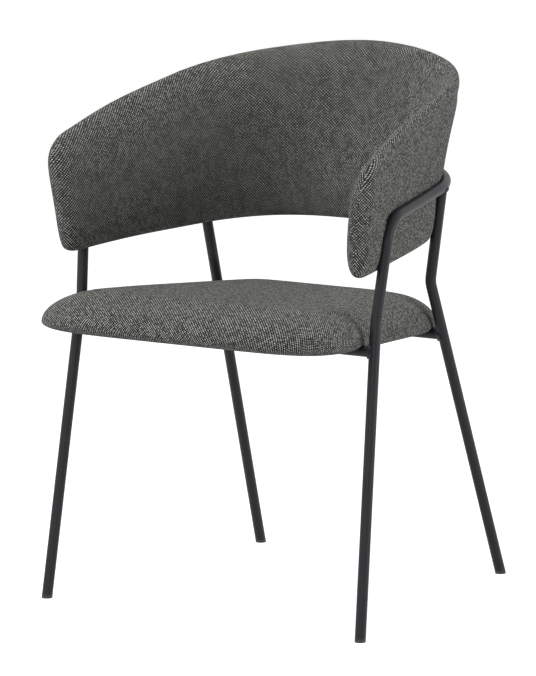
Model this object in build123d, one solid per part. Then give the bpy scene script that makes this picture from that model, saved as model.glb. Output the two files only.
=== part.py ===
from build123d import *
import math
import os

# Dining chair: a tub-shaped padded back and a padded seat on a welded tube frame.
# Millimetres. X is the chair's right-to-left width, Y points to the back, Z is up.
# The origin lies on the floor, under the middle of the chair.

os.makedirs("parts", exist_ok=True)

# ---------------------------------------------------------------- driving dimensions

# Frame tube
TUBE_DIAMETER = 16.0
TUBE_WALL = 1.5

# Front legs, which run up into the arm loop
FRONT_FOOT_X = 269.3
FRONT_FOOT_Y = -209.0
FRONT_WAIST_X = 251.4
FRONT_WAIST_Y = -139.0
FRONT_WAIST_Z = 446.5
FRONT_WAIST_BEND = 90.0

# Arm loop: straight arms that close in on a round back
LOOP_FRONT_Y = -116.7
LOOP_FRONT_Z = 591.0
LOOP_CENTRE_Y = 44.9
LOOP_RADIUS = 222.7
LOOP_RISE_ANGLE = 4.17
ARM_SPLAY_ANGLE = 11.6
ARM_BEND = 45.0

# Rear legs, welded under the loop
REAR_FOOT_X = 213.7
REAR_FOOT_Y = 293.8
REAR_WAIST_X = 188.4
REAR_WAIST_Y = 121.4
REAR_WAIST_Z = 465.8
REAR_WAIST_BEND = 40.0
REAR_TOP_ANGLE = 18.0

# Cross tubes under the seat and the plates welded to them
FRONT_CROSS_Z = 405.0
REAR_CROSS_Z = 383.0
TAB_LENGTH = 34.0
TAB_WIDTH = 30.0
TAB_THICKNESS = 3.0
TAB_ROLL_GAP = 15.0
WELD_SIZE = 2.5

# Foot glides
GLIDE_HEIGHT = 5.0
GLIDE_PLUG_LENGTH = 14.0

# Seat pad, in the plane that lies on the two cross tubes
PAD_CENTRE_Y = -54.0
PAD_HALF_DEPTH = 254.0
PAD_FRONT_LEG_GAP = 10.5
PAD_REAR_LEG_GAP = 4.5
PAD_FRONT_SQUARENESS = 5.7
PAD_REAR_SQUARENESS = 11.0
PAD_DROP = 12.7
PAD_GIRTH_HEIGHT = 14.8
PAD_SHOULDER_RISE = 45.3
PAD_CROWN = 12.0
PAD_LOWER_ROLL = 11.3
PAD_UPPER_ROLL = 6.2
PAD_ROLL_WIDTH = 40.0
SEAT_BOARD_INSET = 14.0
SEAT_BOARD_THICKNESS = 12.0
DUST_COVER_THICKNESS = 0.8

# Back band, a C in plan, measured along its middle line from the centre of the back.
# Its height values are taken at even steps from the centre of the back to the tip of an arm.
BAND_THICKNESS = 36.0
BAND_HALF_LENGTH = 562.8
BAND_SQUARENESS = 4.2
BAND_TOP = (796.6, 780.5, 750.8, 718.4, 672.0)
BAND_BOTTOM = (533.7, 532.7, 525.7, 520.2, 511.6)
BAND_LEAN = (0.317, 0.073, 0.118)
BAND_FLARE = (-0.00096, 0.00107, 0.00057)
BAND_RAKE = 0.103
BAND_EASE = 0.08
BAND_NOSE = 20.0
BAND_TOP_CORNER_LENGTH = 43.3
BAND_TOP_CORNER_DROP = 37.5
BAND_BOTTOM_CORNER_LENGTH = 29.7
BAND_BOTTOM_CORNER_RISE = 14.7
TUBE_SINK = 3.0
BACK_BOARD_THICKNESS = 8.0
BACK_BOARD_INSET = 24.0
BACK_OUTER_PADDING = 7.0

# Upholstery
COVER_THICKNESS = 1.5
SOFT_CLEARANCE = 0.3

# Fasteners
SCREW_DIAMETER = 6.0
SCREW_HEAD_DIAMETER = 10.5
SCREW_HEAD_HEIGHT = 3.3
SCREW_SOCKET = 4.0
HOLE_CLEARANCE = 0.5
THREAD_CLEARANCE = 0.1
WASHER_DIAMETER = 12.5
WASHER_THICKNESS = 1.6
NUT_BARREL_DIAMETER = 8.0
NUT_FLANGE_DIAMETER = 18.0
NUT_FLANGE_THICKNESS = 1.5
BACK_SCREW_ANGLES = (55.0, 78.0, 102.0, 125.0)

# ---------------------------------------------------------------- values worked out

tube_radius = TUBE_DIAMETER / 2
tube_bore = tube_radius - TUBE_WALL
screw_radius = SCREW_DIAMETER / 2
sides = (-1, 1)


def between(start, end, share):
    return start + (end - start) * share


# ---------------------------------------------------------------- frame centre lines

splay = math.radians(ARM_SPLAY_ANGLE)
rise = math.tan(math.radians(LOOP_RISE_ANGLE))


def loop_height(y):
    return LOOP_FRONT_Z + rise * (y - LOOP_FRONT_Y)


def loop_point(degrees_round):
    """A point on the round back of the loop: 0 is square to the right arm, 90 is the back."""
    turn = math.radians(degrees_round)
    y = LOOP_CENTRE_Y + LOOP_RADIUS * math.sin(turn)
    return Vector(LOOP_RADIUS * math.cos(turn), y, loop_height(y))


arm_end = loop_point(ARM_SPLAY_ANGLE)
arm_front = Vector(
    arm_end.X + (arm_end.Y - LOOP_FRONT_Y) * math.tan(splay), LOOP_FRONT_Y, LOOP_FRONT_Z
)
front_foot = Vector(FRONT_FOOT_X, FRONT_FOOT_Y, 0)
front_waist = Vector(FRONT_WAIST_X, FRONT_WAIST_Y, FRONT_WAIST_Z)
rear_foot = Vector(REAR_FOOT_X, REAR_FOOT_Y, 0)
rear_waist = Vector(REAR_WAIST_X, REAR_WAIST_Y, REAR_WAIST_Z)
rear_top = loop_point(REAR_TOP_ANGLE)


def mirrored(point, side):
    return Vector(point.X * side, point.Y, point.Z)


def side_line(side):
    corners = [front_foot, front_waist, arm_front, arm_end]
    points = [mirrored(corner, side) for corner in corners]
    return FilletPolyline(*points, radius=[FRONT_WAIST_BEND, ARM_BEND])


def loop_line():
    back = ThreePointArc(arm_end, loop_point(90), mirrored(arm_end, -1))
    return Wire([*side_line(1).edges(), *back.edges(), *side_line(-1).edges()])


def rear_leg_line(side):
    points = [mirrored(point, side) for point in (rear_foot, rear_waist, rear_top)]
    return Wire(FilletPolyline(*points, radius=[REAR_WAIST_BEND]).edges())


def rod(line, radius):
    return sweep((line ^ 0) * Circle(radius), path=line)


def straight_rod(start, end, radius):
    along = end - start
    plane = Plane(origin=start, z_dir=along)
    return plane.location * Cylinder(radius, along.length, align=(Align.CENTER, Align.CENTER, Align.MIN))


def slab(low, high):
    """Everything between two heights."""
    span = 3 * BAND_HALF_LENGTH
    return Pos(0, 0, low) * Box(span, span, high - low, align=(Align.CENTER, Align.CENTER, Align.MIN))


loop_path = loop_line()
rear_paths = {side: rear_leg_line(side) for side in sides}
floor_cut = slab(-2 * TUBE_DIAMETER, GLIDE_HEIGHT)


# ---------------------------------------------------------------- frame tubes

loop_solid = rod(loop_path, tube_radius)
rear_solids = {side: rod(rear_paths[side], tube_radius) for side in sides}


def screw_plane(angle):
    """Plane square to a back screw, on the loop's centre line, its Z pointing outwards."""
    turn = math.radians(angle)
    outwards = Vector(math.cos(turn), math.sin(turn), math.sin(turn) * rise)
    return Plane(origin=loop_point(angle), z_dir=outwards)


def make_arm_loop_tube():
    tube = loop_solid - rod(loop_path, tube_bore) - floor_cut
    for angle in BACK_SCREW_ANGLES:
        hole = Cylinder(screw_radius + HOLE_CLEARANCE, 2 * TUBE_DIAMETER)
        tube -= screw_plane(angle).location * hole
    return tube


def make_rear_leg(side):
    return rear_solids[side] - rod(rear_paths[side], tube_bore) - floor_cut - loop_solid


def leg_centre_at(foot, waist, height):
    share = height / waist.Z
    return Vector(between(foot.X, waist.X, share), between(foot.Y, waist.Y, share), height)


front_cross_end = leg_centre_at(front_foot, front_waist, FRONT_CROSS_Z)
rear_cross_end = leg_centre_at(rear_foot, rear_waist, REAR_CROSS_Z)


def cross_rod(end, radius):
    return straight_rod(mirrored(end, -1), end, radius)


def make_cross_tube(end, legs):
    tube = cross_rod(end, tube_radius) - cross_rod(end, tube_bore)
    for leg in legs:
        tube -= leg
    return max(tube.solids(), key=lambda solid: solid.volume)


def make_weld(leg, leg_bead, cross, cross_bead):
    """A bead that fills the corner between two tubes."""
    return (leg_bead & cross_bead) - leg - cross


def make_frame_welds():
    welds = []
    joints = [
        (front_foot, front_waist, front_cross_end, loop_solid),
        (rear_foot, rear_waist, rear_cross_end, None),
    ]
    for foot, waist, end, leg in joints:
        for side in sides:
            leg_solid = leg if leg is not None else rear_solids[side]
            leg_bead = straight_rod(mirrored(foot, side), mirrored(waist, side), tube_radius + WELD_SIZE)
            middle = Vector(0, end.Y, end.Z)
            cross_bead = straight_rod(mirrored(end, side), middle, tube_radius + WELD_SIZE)
            welds += make_weld(leg_solid, leg_bead, cross_rod(end, tube_radius), cross_bead).solids()
    loop_bead = rod(loop_path, tube_radius + WELD_SIZE)
    band_face = LOOP_RADIUS - tube_radius + TUBE_SINK
    band_room = Pos(0, LOOP_CENTRE_Y, LOOP_FRONT_Z) * Cylinder(band_face + SOFT_CLEARANCE, LOOP_RADIUS)
    for side in sides:
        top = mirrored(rear_top, side)
        leg_bead = straight_rod(top, mirrored(rear_waist, side), tube_radius + WELD_SIZE)
        bead = make_weld(loop_solid, loop_bead, rear_solids[side], leg_bead)
        welds += (bead - band_room).solids()
    return Compound(children=welds)


def make_foot_glide(foot, waist, side):
    start = mirrored(foot, side)
    along = (mirrored(waist, side) - start).normalized()
    below = start - along * TUBE_DIAMETER
    above = start + along * 2 * TUBE_DIAMETER
    pad = straight_rod(below, above, tube_radius) & slab(0, GLIDE_HEIGHT)
    plug_top = start + along * (GLIDE_HEIGHT + GLIDE_PLUG_LENGTH)
    plug = straight_rod(below, plug_top, tube_bore - THREAD_CLEARANCE) - floor_cut
    return pad + plug


# ---------------------------------------------------------------- seat

tilt = math.atan2(REAR_CROSS_Z - FRONT_CROSS_Z, rear_cross_end.Y - front_cross_end.Y)
seat_up = Vector(0, -math.sin(tilt), math.cos(tilt))
cross_middle = Vector(0, (front_cross_end.Y + rear_cross_end.Y) / 2, (FRONT_CROSS_Z + REAR_CROSS_Z) / 2)
seat_plane = Plane(origin=cross_middle + seat_up * tube_radius, x_dir=(1, 0, 0), z_dir=seat_up)
seat_place = seat_plane.location
cross_half_spacing = math.hypot(rear_cross_end.Y - front_cross_end.Y, REAR_CROSS_Z - FRONT_CROSS_Z) / 2


def power(value, exponent):
    return math.copysign(abs(value) ** exponent, value)


def squared_circle(turn, squareness):
    """A point on a squared-off circle of radius 1, with points crowded into its corners."""
    across = power(math.cos(turn), 0.4)
    along = power(math.sin(turn), 0.4)
    reach = (abs(across) ** squareness + abs(along) ** squareness) ** (-1 / squareness)
    return across * reach, along * reach


def side_gap_point(foot, waist, gap):
    """Where the pad's side passes a leg, in the seat plane: half width and depth."""
    height = seat_plane.origin.Z
    leg = leg_centre_at(foot, waist, height)
    return leg.X - tube_radius - gap, (leg.Y - seat_plane.origin.Y) / math.cos(tilt)


front_half_width, front_side_y = side_gap_point(front_foot, front_waist, PAD_FRONT_LEG_GAP)
rear_half_width, rear_side_y = side_gap_point(rear_foot, rear_waist, PAD_REAR_LEG_GAP)
side_slope = (rear_half_width - front_half_width) / (rear_side_y - front_side_y)


def pad_half_width(y):
    return front_half_width + side_slope * (y - front_side_y)


def pad_outline(inset, share, height, seam):
    """The pad's rounded trapezium in plan, drawn in by an inset and scaled by a share.

    The seam is the share of a turn, counted from the right-hand side, at which the curve starts.
    """
    points = []
    count = 40
    for step in range(count):
        turn = 2 * math.pi * (step / count + seam)
        squareness = PAD_REAR_SQUARENESS if math.sin(turn) > 0 else PAD_FRONT_SQUARENESS
        across, along = squared_circle(turn, squareness)
        y = PAD_CENTRE_Y + along * (PAD_HALF_DEPTH - inset)
        half_width = pad_half_width(y) - inset
        points.append((across * half_width * share, between(PAD_CENTRE_Y, y, share), height))
    return Wire(Spline(*points, periodic=True).edges())


def pad_solid(inset):
    """The crowned pad: a rolled lower edge, a soft shoulder and a slightly domed top."""
    girth = PAD_GIRTH_HEIGHT - PAD_DROP
    sections = []
    for share in (0.8, 0.9, 0.96, 0.99):
        drop = (PAD_GIRTH_HEIGHT - inset) * math.sqrt(1 - share**PAD_LOWER_ROLL)
        sections.append(pad_outline(inset, share, girth - drop, 0.25))
    for share in (1.0, 0.98, 0.94, 0.88, 0.78, 0.6, 0.4, 0.2):
        lift = (PAD_SHOULDER_RISE - inset) * math.sqrt(1 - share**PAD_UPPER_ROLL)
        sections.append(pad_outline(inset, share, girth + lift + PAD_CROWN * (1 - share**2), 0.25))
    return Solid.make_loft(sections, ruled=True)


def pad_prism(inset, low, high):
    """An upright block with the pad's outline."""
    face = Face(pad_outline(inset, 1.0, low, 0.75))
    return extrude(face, amount=high - low, dir=(0, 0, 1))


def cross_channels(clearance):
    """Room under the pad for the two cross tubes, open downwards."""
    length = 4 * PAD_HALF_DEPTH
    radius = tube_radius + clearance
    channels = []
    for y in (-cross_half_spacing, cross_half_spacing):
        hole = Pos(0, y, -tube_radius) * Rot(0, 90, 0) * Cylinder(radius, length)
        slot = Pos(0, y, -tube_radius) * Box(
            length, 2 * radius, 4 * PAD_DROP, align=(Align.CENTER, Align.CENTER, Align.MAX)
        )
        channels.append(hole + slot)
    return channels


def cut_all(solid, tools):
    for tool in tools:
        solid -= tool
    return solid


def tab_places():
    """Middle of each mounting plate's hole in the seat plane, and which way it points."""
    x = pad_half_width(cross_half_spacing) - PAD_ROLL_WIDTH - TAB_ROLL_GAP - TAB_WIDTH / 2
    reach = tube_radius + TAB_LENGTH / 2
    for y, inwards in ((-cross_half_spacing, 1), (cross_half_spacing, -1)):
        for side in sides:
            yield side * x, y + inwards * reach, inwards


def in_seat(solid):
    return seat_place * solid


def make_mounting_tabs():
    tabs = []
    rods = [cross_rod(front_cross_end, tube_radius), cross_rod(rear_cross_end, tube_radius)]
    for x, y, inwards in tab_places():
        plate = Pos(x, y - inwards * tube_radius / 2, -TAB_THICKNESS / 2) * Box(
            TAB_WIDTH, TAB_LENGTH + tube_radius, TAB_THICKNESS
        )
        plate -= Pos(x, y, 0) * Cylinder(screw_radius + HOLE_CLEARANCE, 4 * TAB_THICKNESS)
        plate = cut_all(in_seat(plate), rods)
        tabs.append(max(plate.solids(), key=lambda solid: solid.volume))
    return Compound(children=tabs)


board_base = DUST_COVER_THICKNESS
board_face = board_base + SEAT_BOARD_THICKNESS


def below_board(inset, top):
    """A block that clears the pad's underside up to a height."""
    return pad_prism(inset, -4 * PAD_DROP, top)


def drilled(solid, radius):
    """The four screw holes through a piece of the seat."""
    for x, y, _ in tab_places():
        solid -= Pos(x, y, 0) * Cylinder(radius, 4 * SEAT_BOARD_THICKNESS)
    return solid


def make_seat_board():
    board = pad_prism(SEAT_BOARD_INSET, board_base, board_face)
    return in_seat(drilled(board, NUT_BARREL_DIAMETER / 2 + THREAD_CLEARANCE))


def make_seat_dust_cover():
    """A thin sheet between the board and the frame."""
    sheet = pad_prism(PAD_ROLL_WIDTH + SOFT_CLEARANCE, 0, DUST_COVER_THICKNESS)
    return in_seat(drilled(sheet, screw_radius + HOLE_CLEARANCE))


def make_seat_foam():
    layer = COVER_THICKNESS + SOFT_CLEARANCE
    foam = pad_solid(layer)
    foam -= below_board(SEAT_BOARD_INSET - SOFT_CLEARANCE, board_face)
    foam = cut_all(foam, cross_channels(layer))
    depth = NUT_FLANGE_THICKNESS + SOFT_CLEARANCE
    pocket = Cylinder(
        NUT_FLANGE_DIAMETER / 2 + HOLE_CLEARANCE, depth, align=(Align.CENTER, Align.CENTER, Align.MIN)
    )
    for x, y, _ in tab_places():
        foam -= Pos(x, y, board_face) * pocket
    return in_seat(foam)


def make_seat_cover():
    cover = pad_solid(0) - pad_solid(COVER_THICKNESS) - below_board(PAD_ROLL_WIDTH, board_base)
    return in_seat(cut_all(cover, cross_channels(SOFT_CLEARANCE)))


def make_seat_tee_nuts():
    nuts = []
    bore = Cylinder(screw_radius + THREAD_CLEARANCE, 4 * SEAT_BOARD_THICKNESS)
    for x, y, _ in tab_places():
        barrel = Cylinder(
            NUT_BARREL_DIAMETER / 2, SEAT_BOARD_THICKNESS - 1, align=(Align.CENTER, Align.CENTER, Align.MAX)
        )
        flange = Cylinder(
            NUT_FLANGE_DIAMETER / 2, NUT_FLANGE_THICKNESS, align=(Align.CENTER, Align.CENTER, Align.MIN)
        )
        nuts.append(in_seat(Pos(x, y, board_face) * (barrel + flange - bore)))
    return Compound(children=nuts)


def make_screw(length):
    """A socket-headed machine screw: the head lies below Z = 0, the shank points up."""
    head = Cylinder(SCREW_HEAD_DIAMETER / 2, SCREW_HEAD_HEIGHT, align=(Align.CENTER, Align.CENTER, Align.MAX))
    rim = head.edges().group_by(Axis.Z)[0]
    head = fillet(rim, SCREW_HEAD_HEIGHT / 2)
    shank = Cylinder(screw_radius, length, align=(Align.CENTER, Align.CENTER, Align.MIN))
    socket = extrude(Plane.XY.offset(-SCREW_HEAD_HEIGHT) * RegularPolygon(SCREW_SOCKET / 2, 6), amount=2)
    return head + shank - socket


def make_seat_screws():
    length = WASHER_THICKNESS + TAB_THICKNESS + board_face
    base = -TAB_THICKNESS - WASHER_THICKNESS
    return Compound(children=[in_seat(Pos(x, y, base) * make_screw(length)) for x, y, _ in tab_places()])


def make_seat_washers():
    ring = Cylinder(WASHER_DIAMETER / 2, WASHER_THICKNESS, align=(Align.CENTER, Align.CENTER, Align.MAX))
    ring -= Cylinder(screw_radius + HOLE_CLEARANCE, 4 * WASHER_THICKNESS)
    return Compound(children=[in_seat(Pos(x, y, -TAB_THICKNESS) * ring) for x, y, _ in tab_places()])


# ---------------------------------------------------------------- back band

band_radius = LOOP_RADIUS - tube_radius + TUBE_SINK - BAND_THICKNESS / 2
band_round_length = band_radius * (math.pi / 2 - splay)


def smooth_value(values, share):
    """A smooth curve through evenly spaced values, level at its first one, read at a share of its length."""
    last = len(values) - 1
    place = min(max(share, 0), 1) * last
    index = min(int(place), last - 1)
    part = place - index
    near = values[index]
    far = values[index + 1]
    before = values[index - 1] if index > 0 else far
    after = values[index + 2] if index + 2 <= last else 2 * far - near
    slope_in = (far - before) / 2
    slope_out = (after - near) / 2
    rise_in = part**3 - 2 * part**2 + part
    rise_out = part**3 - part**2
    blend = 3 * part**2 - 2 * part**3
    return between(near, far, blend) + slope_in * rise_in + slope_out * rise_out


def bowed_value(values, share):
    """A parabola through a value at the back, one halfway round and one at the tip."""
    back, halfway, tip = values
    bow = 4 * halfway * share * (1 - share)
    return back * (1 - share) * (1 - 2 * share) + bow + tip * share * (2 * share - 1)


def eased_share(along):
    """Share of the way to the tip, eased at the middle so that both halves meet without a ridge."""
    share = along / BAND_HALF_LENGTH
    eased = math.sqrt(share**2 + BAND_EASE**2) - BAND_EASE
    return eased / (math.sqrt(1 + BAND_EASE**2) - BAND_EASE)


def corner_drop(distance_from_tip, length, drop):
    """How far a rounded corner has come down, as a quarter of an ellipse."""
    share = min(max(1 - distance_from_tip / length, 0), 1)
    return drop * (1 - math.sqrt(1 - share**2))


def band_line(along, outwards, forward):
    """A point in plan: its place along the C, its offset outwards and a shift towards the tip."""
    turn = math.pi / 2 - min(along, band_round_length) / band_radius
    straight = max(along - band_round_length, 0) + forward
    x = (band_radius + outwards) * math.cos(turn) + straight * math.sin(turn)
    y = LOOP_CENTRE_Y + (band_radius + outwards) * math.sin(turn) - straight * math.cos(turn)
    return x, y


def band_point(along, outwards, height):
    """A point of the band. Its lean is counted from the height of the tube loop beside it."""
    share = eased_share(along)
    _, level_y = band_line(along, 0, 0)
    rise_above = height - loop_height(level_y)
    lean = bowed_value(BAND_LEAN, share) * rise_above
    flare = bowed_value(BAND_FLARE, share) * rise_above**2
    x, y = band_line(along, outwards + lean + flare, BAND_RAKE * share * rise_above)
    return x, y, height


def band_section(along, thickness, edge_inset, end, shift, side):
    """One upright slice of the band: an outer and an inner curve that meet at rounded edges."""
    share = along / BAND_HALF_LENGTH
    from_tip = end - along
    top = smooth_value(BAND_TOP, share) - edge_inset
    top -= corner_drop(from_tip, BAND_TOP_CORNER_LENGTH, BAND_TOP_CORNER_DROP)
    bottom = smooth_value(BAND_BOTTOM, share) + edge_inset
    bottom += corner_drop(from_tip, BAND_BOTTOM_CORNER_LENGTH, BAND_BOTTOM_CORNER_RISE)
    nose_share = min(max(1 - from_tip / (BAND_NOSE * thickness / BAND_THICKNESS), 0), 1)
    half_thickness = thickness / 2 * math.sqrt(1 - nose_share**2)
    curves = []
    for face in (1, -1):
        points = []
        for step in range(9):
            rise_share = face * math.sin(math.pi * (step / 8 - 0.5))
            height = between(bottom, top, (rise_share + 1) / 2)
            swell = math.sqrt(1 - abs(rise_share) ** BAND_SQUARENESS)
            x, y, z = band_point(along, shift + face * half_thickness * swell, height)
            points.append((x * side, y, z))
        curves.append(Spline(*points))
    return Wire([curve.edge() for curve in curves])


def band_solid(thickness, edge_inset, tip_inset, shift=0.0):
    """The C-shaped band, or a layer inside it."""
    end = BAND_HALF_LENGTH - tip_inset
    arm_part = end - BAND_HALF_LENGTH / 6
    stations = [end - distance for distance in (2, 6, 13, 22, 45)]
    stations += [arm_part * share for share in (1, 0.85, 0.7, 0.56, 0.41, 0.26, 0.12)]
    sections = [band_section(along, thickness, edge_inset, end, shift, -1) for along in stations]
    sections.append(band_section(0, thickness, edge_inset, end, shift, 1))
    sections += [band_section(along, thickness, edge_inset, end, shift, 1) for along in reversed(stations)]
    return Solid.make_loft(sections)


def frame_rods(clearance):
    """Room for the tubes that are pressed into the band."""
    radius = tube_radius + clearance
    return [rod(loop_path, radius), *(rod(path, radius) for path in rear_paths.values())]


board_shift = BAND_THICKNESS / 2 - BACK_OUTER_PADDING - BACK_BOARD_THICKNESS / 2


def back_layer(inset):
    """The band drawn in by an inset all round, less the room for the tubes."""
    layer = band_solid(BAND_THICKNESS - 2 * inset, inset, inset)
    return cut_all(layer, frame_rods(SOFT_CLEARANCE + inset))


def back_board_solid(extra):
    inset = BACK_BOARD_INSET - extra
    return band_solid(BACK_BOARD_THICKNESS + 2 * extra, inset, inset, board_shift)


# Along a back screw, counted inwards from the loop's centre line
nut_seat = tube_radius - TUBE_SINK + BACK_OUTER_PADDING + BACK_BOARD_THICKNESS - NUT_FLANGE_THICKNESS


def along_screws(make_piece):
    """A piece made once for each back screw and set on the screw's line, Z pointing outwards."""
    return [screw_plane(angle).location * make_piece() for angle in BACK_SCREW_ANGLES]


def screw_hole(radius):
    """From the tube's centre line to a little past the nut's seat."""
    return Cylinder(radius, nut_seat + NUT_FLANGE_THICKNESS / 2, align=(Align.CENTER, Align.CENTER, Align.MAX))


def flange_room(extra):
    """A flat-bottomed pocket from the nut's seat towards the sitter."""
    pocket = Cylinder(
        NUT_FLANGE_DIAMETER / 2 + extra,
        NUT_FLANGE_THICKNESS + 2 * extra + BACK_BOARD_THICKNESS / 2,
        align=(Align.CENTER, Align.CENTER, Align.MAX),
    )
    return Pos(0, 0, -nut_seat) * pocket


def make_back_board():
    board = cut_all(back_board_solid(0), frame_rods(COVER_THICKNESS + 2 * SOFT_CLEARANCE))
    board = cut_all(board, along_screws(lambda: screw_hole(NUT_BARREL_DIAMETER / 2 + THREAD_CLEARANCE)))
    return cut_all(board, along_screws(lambda: flange_room(HOLE_CLEARANCE)))


def make_back_foam():
    foam = back_layer(COVER_THICKNESS + SOFT_CLEARANCE) - back_board_solid(SOFT_CLEARANCE)
    foam = cut_all(foam, along_screws(lambda: screw_hole(screw_radius + HOLE_CLEARANCE)))
    return cut_all(foam, along_screws(lambda: flange_room(HOLE_CLEARANCE)))


def make_back_cover():
    cover = back_layer(0) - back_layer(COVER_THICKNESS)
    return cut_all(cover, along_screws(lambda: screw_hole(screw_radius + HOLE_CLEARANCE)))


def make_back_tee_nuts():
    length = BACK_BOARD_THICKNESS - 2 * NUT_FLANGE_THICKNESS

    def make_nut():
        barrel = Cylinder(NUT_BARREL_DIAMETER / 2, length, align=(Align.CENTER, Align.CENTER, Align.MIN))
        flange = Cylinder(
            NUT_FLANGE_DIAMETER / 2, NUT_FLANGE_THICKNESS, align=(Align.CENTER, Align.CENTER, Align.MAX)
        )
        bore = Cylinder(screw_radius + THREAD_CLEARANCE, 4 * BACK_BOARD_THICKNESS)
        return Pos(0, 0, -nut_seat) * (barrel + flange - bore)

    return Compound(children=along_screws(make_nut))


def make_back_screws():
    head_seat = tube_radius + WASHER_THICKNESS

    def make_one():
        return Pos(0, 0, head_seat) * Rot(180, 0, 0) * make_screw(head_seat + nut_seat)

    return Compound(children=along_screws(make_one))


def make_back_saddle_washers():
    """Washers whose inner face is shaped to the tube."""

    def make_block():
        outside = tube_radius + WASHER_THICKNESS
        block = Cylinder(WASHER_DIAMETER / 2, outside, align=(Align.CENTER, Align.CENTER, Align.MIN))
        return block - Cylinder(screw_radius + HOLE_CLEARANCE, 4 * TUBE_DIAMETER)

    washers = [block - loop_solid for block in along_screws(make_block)]
    return Compound(children=[max(washer.solids(), key=lambda solid: solid.volume) for washer in washers])


# ---------------------------------------------------------------- write the parts

side_names = {-1: "left", 1: "right"}  # as seen from in front of the chair

parts = {
    "arm_loop_tube": make_arm_loop_tube(),
    "front_cross_tube": make_cross_tube(front_cross_end, [loop_solid]),
    "rear_cross_tube": make_cross_tube(rear_cross_end, rear_solids.values()),
    "frame_welds": make_frame_welds(),
    "seat_mounting_tabs": make_mounting_tabs(),
    "seat_board": make_seat_board(),
    "seat_foam": make_seat_foam(),
    "seat_cover": make_seat_cover(),
    "seat_dust_cover": make_seat_dust_cover(),
    "seat_tee_nuts": make_seat_tee_nuts(),
    "seat_screws": make_seat_screws(),
    "seat_washers": make_seat_washers(),
    "back_board": make_back_board(),
    "back_foam": make_back_foam(),
    "back_cover": make_back_cover(),
    "back_tee_nuts": make_back_tee_nuts(),
    "back_screws": make_back_screws(),
    "back_saddle_washers": make_back_saddle_washers(),
}
for side, side_name in side_names.items():
    parts[f"rear_leg_{side_name}"] = make_rear_leg(side)
    parts[f"front_foot_glide_{side_name}"] = make_foot_glide(front_foot, front_waist, side)
    parts[f"rear_foot_glide_{side_name}"] = make_foot_glide(rear_foot, rear_waist, side)

for name, solid in parts.items():
    export_step(solid, f"parts/{name}.step")
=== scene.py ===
import math

import bmesh
import bpy
import numpy as np
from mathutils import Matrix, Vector


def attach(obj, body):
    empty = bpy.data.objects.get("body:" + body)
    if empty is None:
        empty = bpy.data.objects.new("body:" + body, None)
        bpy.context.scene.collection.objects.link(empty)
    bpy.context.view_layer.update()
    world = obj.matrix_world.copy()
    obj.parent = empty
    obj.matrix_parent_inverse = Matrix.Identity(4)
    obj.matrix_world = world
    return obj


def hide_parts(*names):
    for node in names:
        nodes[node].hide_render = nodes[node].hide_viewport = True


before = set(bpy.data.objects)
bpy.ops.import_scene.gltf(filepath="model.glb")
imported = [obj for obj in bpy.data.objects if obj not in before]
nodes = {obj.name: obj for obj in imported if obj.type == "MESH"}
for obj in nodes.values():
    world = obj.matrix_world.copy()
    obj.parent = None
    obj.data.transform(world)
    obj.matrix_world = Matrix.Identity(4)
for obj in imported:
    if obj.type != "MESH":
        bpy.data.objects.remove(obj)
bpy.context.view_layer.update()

MM = 0.001
FLOOR_REACH = 30  # metres

# ---------------------------------------------------------------- sizes, in millimetres
# Those of the frame, the pad and the band are the ones that drive the solids.

TUBE_RADIUS = 8.0
LOOP_FRONT_Y = -116.7
LOOP_FRONT_Z = 591.0
LOOP_CENTRE_Y = 44.9
LOOP_RADIUS = 222.7
LOOP_RISE = math.tan(math.radians(4.17))
ARM_SPLAY = math.radians(11.6)
REAR_WAIST = (188.4, 121.4, 465.8)
REAR_TOP_ANGLE = math.radians(18.0)

FRONT_FOOT = (269.3, -209.0, 0.0)
FRONT_WAIST = (251.4, -139.0, 446.5)
REAR_FOOT = (213.7, 293.8, 0.0)
FRONT_CROSS_Z = 405.0
REAR_CROSS_Z = 383.0
TUBE_CLEARANCE = 0.3
GROOVE_SOFTNESS = 1.0

PAD_CENTRE_Y = -54.0
PAD_HALF_DEPTH = 254.0
PAD_FRONT_LEG_GAP = 10.5
PAD_REAR_LEG_GAP = 4.5
PAD_FRONT_SQUARENESS = 5.7
PAD_REAR_SQUARENESS = 11.0
PAD_DROP = 12.7
PAD_GIRTH_HEIGHT = 14.8
PAD_SHOULDER_RISE = 45.3
PAD_CROWN = 12.0
PAD_LOWER_ROLL = 11.3
PAD_UPPER_ROLL = 6.2
PAD_OUTLINE_SPREAD = 0.55
PAD_COLUMNS = 360
PAD_TOP_ROWS = 72
PAD_UNDER_ROWS = 16
PAD_UNDER_SHARE = 0.165
PAD_TURN_UP = 3.0
PAD_BOARD_GAP = 0.6
PAD_MEAN_REACH = 245.0
PAD_ROW_SPREAD = 0.8
PAD_FIRST_SHARE = 0.004
CROSS_TUBE_GAP = 0.5
CROSS_TUBE_RISE = 14.0
CROSS_TUBE_BLEND = 12.0

# The front roll of the seat's cloth, and the folds at the front corners. Turns are in degrees
# from the front; each pair says where a change begins and how far on it is complete.
ROLL_LINE = 0.758
ROLL_LINE_RISE = 0.115
ROLL_RIDGE = 3.0
ROLL_RIDGE_WIDTH = 16.0
ROLL_BULGE = 2.0
ROLL_BULGE_WIDTH = 22.0
FOLD_TURN = 83.0
FOLD_DEPTH = 2.8
FOLD_WIDTH = 4.5
SIDE_BULGE = 1.4
SIDE_BULGE_SHARE = 0.85
SIDE_BULGE_WIDTH = 0.1
CORNER_BLEND = 8.0
LINE_RISE_TURNS = (50.0, 33.0)
CORNER_TURNS = (42.0, 25.0)
SIDE_BULGE_TURNS = (88.0, 15.0)

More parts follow.
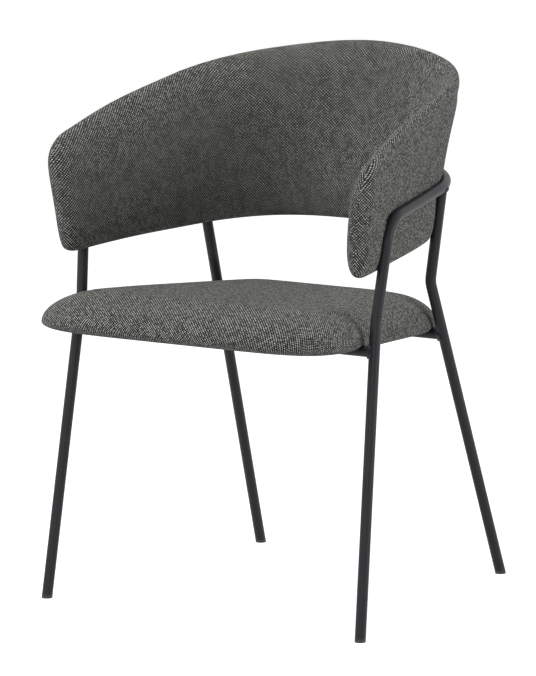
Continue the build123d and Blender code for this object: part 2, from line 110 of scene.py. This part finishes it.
BAND_THICKNESS = 36.0
BAND_HALF_LENGTH = 562.8
BAND_SQUARENESS = 4.2
BAND_TOP = (796.6, 780.5, 750.8, 718.4, 672.0)
BAND_BOTTOM = (533.7, 532.7, 525.7, 520.2, 511.6)
BAND_LEAN = (0.317, 0.073, 0.118)
BAND_FLARE = (-0.00096, 0.00107, 0.00057)
BAND_RAKE = 0.103
BAND_EASE = 0.08
BAND_NOSE = 20.0
BAND_TOP_CORNER = (43.3, 37.5)
BAND_BOTTOM_CORNER = (29.7, 14.7)
TUBE_SINK = 3.0
BAND_STATIONS = 120
BAND_NOSE_STATIONS = 10
BAND_STEPS = 128
RIM_DIP_PLACE = 27.0
RIM_DIP_WIDTH = 11.0
RIM_DIP = 0.12
LOOP_PIECES = 72
NEAR_LOOP = 40.0

band_radius = LOOP_RADIUS - TUBE_RADIUS + TUBE_SINK - BAND_THICKNESS / 2
band_round_length = band_radius * (math.pi / 2 - ARM_SPLAY)


def between(start, end, share):
    return start + (end - start) * share


# ---------------------------------------------------------------- node materials


class Nodes:
    """A material and short ways to wire its nodes."""

    def __init__(self, name):
        self.material = bpy.data.materials.new(name)
        self.material.use_nodes = True
        self.tree = self.material.node_tree
        self.shader = self.tree.nodes["Principled BSDF"]

    def add(self, kind, **settings):
        node = self.tree.nodes.new(kind)
        for key, value in settings.items():
            setattr(node, key, value)
        return node

    def join(self, source, target):
        if isinstance(source, bpy.types.NodeSocket):
            self.tree.links.new(source, target)
        else:
            target.default_value = source

    def math(self, operation, *values):
        node = self.add("ShaderNodeMath", operation=operation)
        for value, socket in zip(values, node.inputs):
            self.join(value, socket)
        return node.outputs[0]

    def mix(self, share, first, second):
        node = self.add("ShaderNodeMix", data_type="RGBA")
        self.join(share, node.inputs["Factor"])
        self.join(first, node.inputs[6])
        self.join(second, node.inputs[7])
        return node.outputs[2]

    def ramp(self, value, stops):
        node = self.add("ShaderNodeValToRGB")
        self.join(value, node.inputs[0])
        elements = node.color_ramp.elements
        while len(elements) < len(stops):
            elements.new(0.5)
        for element, (place, grey) in zip(elements, stops):
            element.position = place
            element.color = (grey, grey, grey, 1)
        return node.outputs["Color"]

    def noise(self, vector, scale, detail=2.0, roughness=0.5):
        node = self.add("ShaderNodeTexNoise")
        self.join(vector, node.inputs["Vector"])
        node.inputs["Scale"].default_value = scale
        node.inputs["Detail"].default_value = detail
        node.inputs["Roughness"].default_value = roughness
        return node.outputs["Fac"]

    def combine(self, x, y, z):
        node = self.add("ShaderNodeCombineXYZ")
        for value, socket in zip((x, y, z), node.inputs):
            self.join(value, socket)
        return node.outputs[0]

    def bump(self, height, depth, strength=1.0):
        node = self.add("ShaderNodeBump")
        node.inputs["Strength"].default_value = strength
        node.inputs["Distance"].default_value = depth
        self.join(height, node.inputs["Height"])
        self.join(node.outputs[0], self.shader.inputs["Normal"])

    def set(self, **values):
        for key, value in values.items():
            self.shader.inputs[key.replace("_", " ")].default_value = value


THREAD = 0.0022  # metres from one yarn of the weave to the next


def fabric(name):
    """A tight plain weave of thick melange yarn: dark threads one way, light ones the other, painted
    shade in the hollows.
    """
    n = Nodes(name)
    uv = n.add("ShaderNodeUVMap", uv_map="metres")
    split = n.add("ShaderNodeSeparateXYZ")
    n.join(uv.outputs[0], split.inputs[0])
    uneven = n.noise(uv.outputs[0], 30.0, 3.0, 0.6)
    drift = n.math("MULTIPLY", n.math("SUBTRACT", uneven, 0.5), 2.4)
    loose = n.noise(uv.outputs[0], 170.0, 2.0, 0.6)
    shake = n.math("MULTIPLY", n.math("SUBTRACT", loose, 0.5), 0.5)
    wander = n.math("ADD", drift, shake)
    across = n.math("ADD", n.math("DIVIDE", split.outputs[0], THREAD), wander)
    along = n.math("SUBTRACT", n.math("DIVIDE", split.outputs[1], THREAD), wander)
    wave_across = n.math("SINE", n.math("MULTIPLY", across, math.pi))
    wave_along = n.math("SINE", n.math("MULTIPLY", along, math.pi))
    crossing = n.math("MULTIPLY", wave_across, wave_along)
    over = n.math("GREATER_THAN", crossing, 0.0)
    height = n.math("SQRT", n.math("ABSOLUTE", crossing))
    knot = n.add("ShaderNodeTexWhiteNoise", noise_dimensions="2D")
    n.join(n.combine(n.math("FLOOR", across), n.math("FLOOR", along), 0.0), knot.inputs["Vector"])
    yarn = n.noise(n.combine(n.math("MULTIPLY", across, 0.1), along, 0.0), 1.0, 3.0, 0.7)
    knot_shade = n.math("MULTIPLY", knot.outputs["Value"], 0.7)
    shade = n.math("ADD", knot_shade, n.math("MULTIPLY", yarn, 0.4))
    warp = n.mix(shade, (0.004, 0.004, 0.004, 1), (0.016, 0.017, 0.016, 1))
    weft = n.mix(shade, (0.045, 0.045, 0.042, 1), (0.830, 0.830, 0.780, 1))
    colour = n.mix(over, weft, warp)
    # Painted shade: the colour darkens where the yarns dip, standing in for the shade in the hollows of
    # the weave.
    painted_weave_shade = n.add("ShaderNodeMix", data_type="RGBA", blend_type="MULTIPLY")
    painted_weave_shade.inputs["Factor"].default_value = 1.0
    n.join(colour, painted_weave_shade.inputs[6])
    n.join(n.ramp(height, [(0.1, 0.04), (0.95, 1.0)]), painted_weave_shade.inputs[7])
    n.join(painted_weave_shade.outputs[2], n.shader.inputs["Base Color"])
    fuzz = n.noise(uv.outputs[0], 2600.0, 2.0)
    n.bump(n.math("ADD", height, n.math("MULTIPLY", fuzz, 0.5)), 0.0006, 0.9)
    n.set(Roughness=0.9, Sheen_Weight=0.1, Sheen_Roughness=0.4, Specular_IOR_Level=0.06)
    n.shader.inputs["Sheen Tint"].default_value = (0.75, 0.75, 0.72, 1)
    return n.material


def powder_coat(name, ripple=0.0):
    """Satin powder coat: a fine orange peel, with faint worn and dusty patches."""
    n = Nodes(name)
    place = n.add("ShaderNodeTexCoord").outputs["Object"]
    peel = n.noise(place, 900.0, 2.0)
    patch = n.noise(place, 22.0, 4.0, 0.6)
    colour = n.mix(patch, (0.017, 0.018, 0.021, 1), (0.025, 0.027, 0.031, 1))
    n.join(colour, n.shader.inputs["Base Color"])
    rough = n.math("ADD", n.math("MULTIPLY", patch, 0.16), 0.36)
    n.join(rough, n.shader.inputs["Roughness"])
    height = peel
    if ripple:
        wave = n.add("ShaderNodeTexWave", bands_direction="DIAGONAL")
        n.join(place, wave.inputs["Vector"])
        wave.inputs["Scale"].default_value = 320.0
        wave.inputs["Distortion"].default_value = 2.5
        height = n.math("ADD", peel, n.math("MULTIPLY", wave.outputs["Fac"], ripple))
    n.bump(height, 0.00012, 0.5)
    n.set(Coat_Weight=0.04, Coat_Roughness=0.28, Specular_IOR_Level=0.16)
    return n.material


def moulded_plastic(name):
    """Matt black nylon with a fine grain, a little scuffed."""
    n = Nodes(name)
    place = n.add("ShaderNodeTexCoord").outputs["Object"]
    grain = n.noise(place, 1500.0, 3.0)
    scuff = n.ramp(n.noise(place, 140.0, 5.0, 0.7), [(0.45, 0.0), (0.75, 1.0)])
    colour = n.mix(scuff, (0.012, 0.012, 0.013, 1), (0.035, 0.035, 0.036, 1))
    n.join(colour, n.shader.inputs["Base Color"])
    n.join(n.math("ADD", n.math("MULTIPLY", scuff, 0.2), 0.5), n.shader.inputs["Roughness"])
    n.bump(grain, 0.00015, 0.6)
    return n.material


def plywood(name):
    """Birch plywood: long grain on the faces and glued layers at the edges."""
    n = Nodes(name)
    place = n.add("ShaderNodeTexCoord").outputs["Object"]
    split = n.add("ShaderNodeSeparateXYZ")
    n.join(place, split.inputs[0])
    stretched = n.combine(
        n.math("MULTIPLY", split.outputs[0], 60.0),
        n.math("MULTIPLY", split.outputs[1], 5.0),
        n.math("MULTIPLY", split.outputs[2], 60.0),
    )
    grain = n.noise(stretched, 3.0, 6.0, 0.65)
    layer = n.math("SINE", n.math("MULTIPLY", split.outputs[2], 2 * math.pi / 0.003))
    face = n.mix(grain, (0.46, 0.31, 0.17, 1), (0.66, 0.50, 0.32, 1))
    layer_share = n.math("MULTIPLY", n.math("ADD", layer, 1.0), 0.12)
    banded = n.mix(layer_share, face, (0.30, 0.19, 0.10, 1))
    n.join(banded, n.shader.inputs["Base Color"])
    n.bump(grain, 0.0003, 0.4)
    n.set(Roughness=0.65)
    return n.material


def bonded_cloth(name):
    """Thin black non-woven cloth: short fibres pressed in all directions, with spot bonds."""
    n = Nodes(name)
    place = n.add("ShaderNodeTexCoord").outputs["Object"]
    fibre = n.noise(place, 700.0, 6.0, 0.8)
    spots = n.add("ShaderNodeTexVoronoi")
    n.join(place, spots.inputs["Vector"])
    spots.inputs["Scale"].default_value = 420.0
    colour = n.mix(fibre, (0.006, 0.006, 0.007, 1), (0.034, 0.034, 0.036, 1))
    n.join(colour, n.shader.inputs["Base Color"])
    n.bump(n.math("ADD", fibre, spots.outputs["Distance"]), 0.0003, 0.7)
    n.set(Roughness=0.95, Sheen_Weight=0.2)
    return n.material


def plated_steel(name, dark):
    """Fastener steel with fine turning marks: zinc plated, or blackened when dark."""
    n = Nodes(name)
    place = n.add("ShaderNodeTexCoord").outputs["Object"]
    marks = n.noise(place, 1800.0, 4.0, 0.7)
    tones = (0.42, 0.43, 0.45, 1), (0.62, 0.63, 0.64, 1)
    if dark:
        tones = (0.012, 0.012, 0.013, 1), (0.045, 0.045, 0.048, 1)
    n.join(n.mix(marks, *tones), n.shader.inputs["Base Color"])
    n.join(n.math("ADD", n.math("MULTIPLY", marks, 0.25), 0.25), n.shader.inputs["Roughness"])
    n.bump(marks, 0.00006, 0.4)
    n.set(Metallic=0.3 if dark else 1.0)
    return n.material


cloth = fabric("hopsack_cloth")
coat = powder_coat("powder_coat")
weld_coat = powder_coat("powder_coat_on_weld", 0.9)
nylon = moulded_plastic("black_nylon")
ply = plywood("birch_plywood")
dust_cloth = bonded_cloth("bonded_dust_cloth")
zinc = plated_steel("zinc_steel", False)
black_steel = plated_steel("black_steel", True)

node_materials = {
    "arm_loop_tube": coat, "rear_leg_left": coat, "rear_leg_right": coat,
    "front_cross_tube": coat, "rear_cross_tube": coat, "seat_mounting_tabs": coat,
    "frame_welds": weld_coat,
    "front_foot_glide_left": nylon, "front_foot_glide_right": nylon,
    "rear_foot_glide_left": nylon, "rear_foot_glide_right": nylon,
    "seat_board": ply, "back_board": ply, "seat_dust_cover": dust_cloth,
    "seat_tee_nuts": zinc, "back_tee_nuts": zinc,
    "seat_screws": black_steel, "seat_washers": black_steel,
    "back_screws": black_steel, "back_saddle_washers": black_steel,
}
for node, material in node_materials.items():
    mesh = nodes[node].data
    mesh.materials.clear()
    mesh.materials.append(material)


# ---------------------------------------------------------------- mesh helpers


def make_grid(name, rows, starts, ends, material):
    """A smooth mesh from closed rings of points in millimetres.

    starts and ends give the cloth lengths at the two sides of each face.
    """
    width = len(rows[0])
    points = [tuple(value * MM for value in point) for row in rows for point in row]
    faces = []
    corners = []
    for i in range(len(rows) - 1):
        for j in range(width):
            k = (j + 1) % width
            faces.append((i * width + j, i * width + k, (i + 1) * width + k, (i + 1) * width + j))
            corners += [starts[i][j], ends[i][j], ends[i + 1][j], starts[i + 1][j]]
    mesh = bpy.data.meshes.new(name)
    mesh.from_pydata(points, [], faces)
    layer = mesh.uv_layers.new(name="metres")
    for corner, (u, v) in zip(layer.data, corners):
        corner.uv = (u * MM, v * MM)
    for polygon in mesh.polygons:
        polygon.use_smooth = True
    mesh.materials.append(material)
    piece = bpy.data.objects.new(name, mesh)
    bpy.context.scene.collection.objects.link(piece)
    return piece


def sew_tips(piece):
    """Joins the points that lie on each other where a closed form comes to its end."""
    form = bmesh.new()
    form.from_mesh(piece.data)
    bmesh.ops.remove_doubles(form, verts=form.verts, dist=0.02 * MM)
    form.to_mesh(piece.data)
    form.free()


def subdivide(piece):
    modifier = piece.modifiers.new("smooth", "SUBSURF")
    modifier.levels = 1
    modifier.render_levels = 1


def press_round(points, start, end):
    """Pushes points away from a tube's centre line, so that the tube lies in a soft groove."""
    radius = TUBE_RADIUS + TUBE_CLEARANCE
    axis = end - start
    share = np.clip(((points - start) @ axis) / (axis @ axis), 0, 1)
    nearest = start + share[:, None] * axis
    away = points - nearest
    distance = np.maximum(np.linalg.norm(away, axis=1), 1e-6)
    grown = radius + GROOVE_SOFTNESS * np.logaddexp(0, (distance - radius) / GROOVE_SOFTNESS)
    near = distance < radius + 6 * GROOVE_SOFTNESS
    scale = np.where(near, grown / distance, 1.0)
    return nearest + away * scale[:, None]


# ---------------------------------------------------------------- back shell


def smooth_value(values, share):
    """A value on the smooth curve through evenly spaced values, level at its first one."""
    last = len(values) - 1
    place = min(max(share, 0), 1) * last
    index = min(int(place), last - 1)
    part = place - index
    near, far = values[index], values[index + 1]
    before = values[index - 1] if index > 0 else far
    after = values[index + 2] if index + 2 <= last else 2 * far - near
    slope_in = (far - before) / 2
    slope_out = (after - near) / 2
    blend = 3 * part**2 - 2 * part**3
    rise_in = part**3 - 2 * part**2 + part
    return between(near, far, blend) + slope_in * rise_in + slope_out * (part**3 - part**2)


def bowed_value(values, share):
    """A value on the bow through those at the back, halfway and at the tip."""
    back, halfway, tip = values
    bow = 4 * halfway * share * (1 - share)
    return back * (1 - share) * (1 - 2 * share) + bow + tip * share * (2 * share - 1)


def corner_drop(from_tip, corner):
    """How far the edge has turned away from its line near the tip's rounded corner."""
    length, drop = corner
    share = min(max(1 - from_tip / length, 0), 1)
    return drop * (1 - math.sqrt(1 - share**2))


def soft_least(first, second):
    """The lesser of two lengths, blended where they are nearly alike."""
    nearness = math.exp(-first / CORNER_BLEND) + math.exp(-second / CORNER_BLEND)
    return -CORNER_BLEND * math.log(nearness)


def loop_height(y):
    return LOOP_FRONT_Z + LOOP_RISE * (y - LOOP_FRONT_Y)


def band_line(along, outwards, forward):
    """The band in plan: round the back, then straight along the arm."""
    turn = math.pi / 2 - min(along, band_round_length) / band_radius
    straight = max(along - band_round_length, 0) + forward
    x = (band_radius + outwards) * math.cos(turn) + straight * math.sin(turn)
    y = LOOP_CENTRE_Y + (band_radius + outwards) * math.sin(turn) - straight * math.cos(turn)
    return x, y


def band_point(along, outwards, height):
    """A point of the leaning, flared band. The share is eased, so both halves meet without a ridge."""
    share = math.sqrt((along / BAND_HALF_LENGTH) ** 2 + BAND_EASE**2) - BAND_EASE
    share /= math.sqrt(1 + BAND_EASE**2) - BAND_EASE
    rise_above = height - loop_height(band_line(along, 0, 0)[1])
    lean = bowed_value(BAND_LEAN, share) * rise_above
    flare = bowed_value(BAND_FLARE, share) * rise_above**2
    x, y = band_line(along, outwards + lean + flare, BAND_RAKE * share * rise_above)
    return x, y, height


def band_row(along, side):
    """One slice of the band: up the outer face, over the rim and down the inner face."""
    share = along / BAND_HALF_LENGTH
    from_tip = BAND_HALF_LENGTH - along
    top = smooth_value(BAND_TOP, share) - corner_drop(from_tip, BAND_TOP_CORNER)
    bottom = smooth_value(BAND_BOTTOM, share) + corner_drop(from_tip, BAND_BOTTOM_CORNER)
    nose_share = min(max(1 - from_tip / BAND_NOSE, 0), 1)
    half_thickness = BAND_THICKNESS / 2 * math.sqrt(1 - nose_share**2)
    row = []
    for step in range(BAND_STEPS):
        turn = 2 * math.pi * step / BAND_STEPS - math.pi / 2
        rise_share = math.sin(turn)
        face = 1 if step <= BAND_STEPS / 2 else -1
        height = between(bottom, top, (rise_share + 1) / 2)
        swell = math.sqrt(max(1 - abs(rise_share) ** BAND_SQUARENESS, 0))
        if face > 0:
            from_edge = soft_least(top - height, from_tip)
            swell *= 1 - RIM_DIP * math.exp(-(((from_edge - RIM_DIP_PLACE) / RIM_DIP_WIDTH) ** 2))
        x, y, z = band_point(along, face * half_thickness * swell, height)
        row.append((x * side, y, z))
    return row


def cloth_lengths(points, middle, upwards):
    """Lengths of cloth along the band and up one face, so that the weave lies level there."""
    rings = np.concatenate((points, points[:, :1]), axis=1)
    steps = np.linalg.norm(np.diff(points[:, middle, :2], axis=0), axis=1)
    along = np.repeat(np.append(0, steps.cumsum())[:, None], rings.shape[1], axis=1)
    around = np.linalg.norm(np.diff(rings, axis=1), axis=2).cumsum(axis=1)
    around = np.concatenate((np.zeros((len(points), 1)), around), axis=1)
    around += (upwards * points[:, middle, 2] - around[:, middle])[:, None]
    return np.stack((along, around), axis=2)


def loop_point(turn):
    y = LOOP_CENTRE_Y + LOOP_RADIUS * math.sin(turn)
    return np.array((LOOP_RADIUS * math.cos(turn), y, loop_height(y)))


MIRROR = np.array((-1.0, 1.0, 1.0))


def press_frame_into(points):
    """Presses the arm loop and the tops of both rear legs into the shell's points."""
    turns = np.linspace(ARM_SPLAY, math.pi - ARM_SPLAY, LOOP_PIECES + 1)
    line = [loop_point(turn) for turn in turns]
    arm_front_x = line[0][0] + (line[0][1] - LOOP_FRONT_Y) * math.tan(ARM_SPLAY)
    front = np.array((arm_front_x, LOOP_FRONT_Y, LOOP_FRONT_Z))
    line = [front, *line, front * MIRROR]
    for start, end in zip(line, line[1:]):
        low = np.minimum(start, end) - NEAR_LOOP
        high = np.maximum(start, end) + NEAR_LOOP
        near = np.all((points > low) & (points < high), axis=1)
        points[near] = press_round(points[near], start, end)
    top = loop_point(REAR_TOP_ANGLE)
    waist = np.array(REAR_WAIST)
    for flip in (np.ones(3), MIRROR):
        points = press_round(points, top * flip, waist * flip)
    return points


def make_back_shell():
    straight_part = BAND_HALF_LENGTH - BAND_NOSE
    stations = [straight_part * i / BAND_STATIONS for i in range(BAND_STATIONS)]
    for i in range(BAND_NOSE_STATIONS):
        turn = math.pi / 2 * i / (BAND_NOSE_STATIONS - 1)
        stations.append(straight_part + BAND_NOSE * math.sin(turn))
    halves = [(along, -1) for along in reversed(stations[1:])] + [(along, 1) for along in stations]
    rings = np.array([band_row(along, side) for along, side in halves])
    quarter = BAND_STEPS // 4
    outside = cloth_lengths(rings, quarter, 1)
    inside = cloth_lengths(rings, 3 * quarter, -1)
    half = BAND_STEPS // 2
    starts = np.concatenate((outside[:, :half], inside[:, half:-1]), axis=1)
    ends = np.concatenate((outside[:, 1 : half + 1], inside[:, half + 1 :]), axis=1)
    rows = press_frame_into(rings.reshape(-1, 3)).reshape(rings.shape)
    shell = make_grid("back_shell", rows.tolist(), starts.tolist(), ends.tolist(), cloth)
    sew_tips(shell)
    subdivide(shell)
    return shell


# ---------------------------------------------------------------- seat pad


def leg_centre_at(foot, waist, height):
    """The centre of a leg's lower tube at a height."""
    share = height / waist[2]
    return [between(a, b, share) for a, b in zip(foot, waist)]


front_cross_end = leg_centre_at(FRONT_FOOT, FRONT_WAIST, FRONT_CROSS_Z)
rear_cross_end = leg_centre_at(REAR_FOOT, REAR_WAIST, REAR_CROSS_Z)
run = rear_cross_end[1] - front_cross_end[1]
drop = REAR_CROSS_Z - FRONT_CROSS_Z
tilt = math.atan2(drop, run)
cross_half_spacing = math.hypot(run, drop) / 2
seat_y = (front_cross_end[1] + rear_cross_end[1]) / 2 - math.sin(tilt) * TUBE_RADIUS
seat_z = (FRONT_CROSS_Z + REAR_CROSS_Z) / 2 + math.cos(tilt) * TUBE_RADIUS


def to_world(x, y, z):
    """From the seat plane to the chair's frame."""
    world_y = seat_y + y * math.cos(tilt) - z * math.sin(tilt)
    world_z = seat_z + y * math.sin(tilt) + z * math.cos(tilt)
    return x, world_y, world_z


def side_gap_point(foot, waist, gap):
    """The pad's half width beside a leg, and where along the seat the leg stands."""
    x, y, _ = leg_centre_at(foot, waist, seat_z)
    return x - TUBE_RADIUS - gap, (y - seat_y) / math.cos(tilt)


front_half_width, front_side_y = side_gap_point(FRONT_FOOT, FRONT_WAIST, PAD_FRONT_LEG_GAP)
rear_half_width, rear_side_y = side_gap_point(REAR_FOOT, REAR_WAIST, PAD_REAR_LEG_GAP)
side_slope = (rear_half_width - front_half_width) / (rear_side_y - front_side_y)


def power(value, exponent):
    """A power that keeps the value's sign."""
    return math.copysign(abs(value) ** exponent, value)


def pad_edge(turn):
    """The pad's outline in plan, at its widest."""
    squareness = PAD_REAR_SQUARENESS if math.sin(turn) > 0 else PAD_FRONT_SQUARENESS
    across = power(math.cos(turn), PAD_OUTLINE_SPREAD)
    along = power(math.sin(turn), PAD_OUTLINE_SPREAD)
    reach = (abs(across) ** squareness + abs(along) ** squareness) ** (-1 / squareness)
    y = PAD_CENTRE_Y + along * reach * PAD_HALF_DEPTH
    half_width = front_half_width + side_slope * (y - front_side_y)
    return across * reach * half_width, y


def pad_profile():
    """Share of the way from the middle to the edge, height, and share of the way under the pad."""
    girth = PAD_GIRTH_HEIGHT - PAD_DROP
    profile = []
    for step in range(PAD_TOP_ROWS + 1):
        share = PAD_FIRST_SHARE
        if step:
            share = math.sin(math.pi / 2 * step / PAD_TOP_ROWS) ** PAD_ROW_SPREAD
        lift = PAD_SHOULDER_RISE * math.sqrt(max(1 - share**PAD_UPPER_ROLL, 0))
        profile.append((share, girth + lift + PAD_CROWN * (1 - share**2), 0))
    for step in range(1, PAD_UNDER_ROWS + 1):
        under = step / PAD_UNDER_ROWS
        share = 1 - PAD_UNDER_SHARE * under**2
        height = girth - PAD_GIRTH_HEIGHT * math.sqrt(1 - share**PAD_LOWER_ROLL)
        profile.append((share, height, under))
    profile.append((share - 0.004, -PAD_DROP + PAD_TURN_UP, 1))
    profile.append((share - 0.005, PAD_BOARD_GAP, 1))
    return profile


def smooth_step(value):
    """Rises gently from 0 to 1 as the value does."""
    value = min(max(value, 0), 1)
    return value * value * (3 - 2 * value)


def turned_past(from_front, turns):
    """How far a change along the pad's outline is complete."""
    begin, width = turns
    return smooth_step((from_front - begin) / width)


def pad_swell(turn, share):
    """How far the pulled cloth stands proud of the plain form, or sinks below it in a fold."""
    from_front = abs(math.degrees(turn) - 270)
    from_front = min(from_front, 360 - from_front)
    line = ROLL_LINE + ROLL_LINE_RISE * turned_past(from_front, LINE_RISE_TURNS)
    behind_line = (share - line) * PAD_HALF_DEPTH
    before_fold = (FOLD_TURN - from_front) * math.radians(front_half_width)
    inside = soft_least(behind_line, before_fold)
    corner = turned_past(from_front, CORNER_TURNS)
    ridge = ROLL_RIDGE * (1 - corner) * math.exp(-abs(inside) / ROLL_RIDGE_WIDTH)
    fold = FOLD_DEPTH * corner * math.exp(-((inside / FOLD_WIDTH) ** 2))
    bulge = ROLL_BULGE * corner * smooth_step(inside / ROLL_BULGE_WIDTH)
    beside_line = (share - SIDE_BULGE_SHARE) / SIDE_BULGE_WIDTH
    side = SIDE_BULGE * turned_past(from_front, SIDE_BULGE_TURNS) * math.exp(-(beside_line**2))
    return ridge + bulge + side - fold


def over_cross_tubes(y, height):
    """Lifts the cloth under the pad where it passes over a cross tube."""
    for tube_y in (-cross_half_spacing, cross_half_spacing):
        beside = (abs(y - tube_y) - TUBE_RADIUS - CROSS_TUBE_GAP) / CROSS_TUBE_BLEND
        height = max(height, CROSS_TUBE_GAP - CROSS_TUBE_RISE * smooth_step(beside))
    return height


def make_seat_pad():
    turns = [2 * math.pi * step / PAD_COLUMNS for step in range(PAD_COLUMNS)]
    edges = [pad_edge(turn) for turn in turns]
    rows = []
    uv_rows = []
    swells = []
    length = 0.0
    last = None
    for share, height, under in pad_profile():
        row = []
        for x_edge, y_edge in edges:
            x = x_edge * share
            y = between(PAD_CENTRE_Y, y_edge, share)
            z = over_cross_tubes(y, height) if under else height
            row.append(to_world(x, y, z))
        if last:
            length += math.hypot((share - last[0]) * PAD_MEAN_REACH, height - last[1])
        last = (share, height)
        factor = length / PAD_MEAN_REACH if length else share
        uvs = [(x * factor, (y - PAD_CENTRE_Y) * factor) for x, y in edges]
        rows.append(row)
        uv_rows.append(uvs)
        reach = 1 if under else share
        swells.append([pad_swell(turn, reach) * (1 - under) ** 2 for turn in turns])
    points = np.array(rows)
    inwards = np.cross(np.roll(points, -1, 1) - np.roll(points, 1, 1), np.gradient(points, axis=0))
    inwards /= np.maximum(np.linalg.norm(inwards, axis=2, keepdims=True), 1e-9)
    points -= inwards * np.array(swells)[:, :, None]
    ends = [[*uvs[1:], uvs[0]] for uvs in uv_rows]
    pad = make_grid("seat_pad", points.tolist(), uv_rows, ends, cloth)
    subdivide(pad)
    return pad


back_shell = make_back_shell()
seat_pad = make_seat_pad()
for piece, solids in (
    (back_shell, ("back_cover", "back_foam")),
    (seat_pad, ("seat_cover", "seat_foam")),
):
    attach(piece, "root")
    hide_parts(*solids)

# ---------------------------------------------------------------- floor, light and camera


def seen_share(tree):
    """1 for what the camera, mirrors and glass see, 0 for the light that falls on things."""
    path = tree.nodes.new("ShaderNodeLightPath")
    seen = path.outputs["Is Camera Ray"]
    for ray in ("Is Glossy Ray", "Is Transmission Ray"):
        highest = tree.nodes.new("ShaderNodeMath")
        highest.operation = "MAXIMUM"
        tree.links.new(seen, highest.inputs[0])
        tree.links.new(path.outputs[ray], highest.inputs[1])
        seen = highest.outputs[0]
    return seen


def with_white(tree, surface, strength):
    """Adds plain white to what is seen of a pale surface, and none to the light it gives."""
    level = tree.nodes.new("ShaderNodeMath")
    level.operation = "MULTIPLY"
    level.inputs[1].default_value = strength
    tree.links.new(seen_share(tree), level.inputs[0])
    glow = tree.nodes.new("ShaderNodeEmission")
    tree.links.new(level.outputs[0], glow.inputs["Strength"])
    both = tree.nodes.new("ShaderNodeAddShader")
    tree.links.new(surface, both.inputs[0])
    tree.links.new(glow.outputs[0], both.inputs[1])
    return both.outputs[0]


floor_mesh = bpy.data.meshes.new("floor")
floor_corners = [(x * FLOOR_REACH, y * FLOOR_REACH, 0) for x, y in ((-1, -1), (1, -1), (1, 1), (-1, 1))]
floor_mesh.from_pydata(floor_corners, [], [(0, 1, 2, 3)])
floor = bpy.data.objects.new("floor", floor_mesh)
bpy.context.scene.collection.objects.link(floor)
floor_material = bpy.data.materials.new("pale_floor")
floor_material.use_nodes = True
floor_tree = floor_material.node_tree
floor_shader = floor_tree.nodes["Principled BSDF"]
floor_shader.inputs["Base Color"].default_value = (0.62, 0.62, 0.62, 1)
floor_shader.inputs["Roughness"].default_value = 0.9
floor_shader.inputs["Specular IOR Level"].default_value = 0.1
floor_surface = with_white(floor_tree, floor_shader.outputs[0], 0.88)
floor_tree.links.new(floor_surface, floor_tree.nodes["Material Output"].inputs["Surface"])
floor_mesh.materials.append(floor_material)

world = bpy.data.worlds.new("studio")
bpy.context.scene.world = world
world.use_nodes = True
world_tree = world.node_tree
backdrop = world_tree.nodes["Background"]
backdrop.inputs["Color"].default_value = (1, 1, 1, 1)
level = world_tree.nodes.new("ShaderNodeMapRange")
level.inputs["To Min"].default_value = 0.16
level.inputs["To Max"].default_value = 1.0
world_tree.links.new(seen_share(world_tree), level.inputs["Value"])
world_tree.links.new(level.outputs["Result"], backdrop.inputs["Strength"])


def area_light(name, place, target, size, watts):
    light = bpy.data.lights.new(name, "AREA")
    light.shape = "RECTANGLE"
    light.size, light.size_y = size
    light.energy = watts
    lamp = bpy.data.objects.new(name, light)
    lamp.location = place
    lamp.rotation_euler = (Vector(target) - Vector(place)).to_track_quat("-Z", "Y").to_euler()
    bpy.context.scene.collection.objects.link(lamp)


middle = (0, 0, 0.5)
area_light("left_front_light", (-2.2, -2.6, 1.9), middle, (1.5, 1.5), 52)
area_light("front_light", (1.2, -3.6, 1.4), middle, (1.5, 1.5), 28)
area_light("top_light", (-0.3, -0.3, 3.2), middle, (1.6, 1.6), 41)
area_light("right_rear_light", (3.2, 0.9, 1.3), middle, (2.4, 2.0), 58)

camera_data = bpy.data.cameras.new("camera")
camera_data.sensor_fit = "VERTICAL"
camera_data.sensor_height = 36
camera_data.lens = 254.52
camera_data.shift_x = -0.0016
camera_data.shift_y = 0.0053
camera_data.clip_end = 100
camera = bpy.data.objects.new("camera", camera_data)
camera.location = (3.669, -5.8605, 1.544)
aim = Vector((0, -0.0225, 0.38)) - camera.location
camera.rotation_euler = aim.to_track_quat("-Z", "Y").to_euler()
bpy.context.scene.collection.objects.link(camera)
bpy.context.scene.camera = camera
bpy.context.scene.view_settings.view_transform = "Standard"
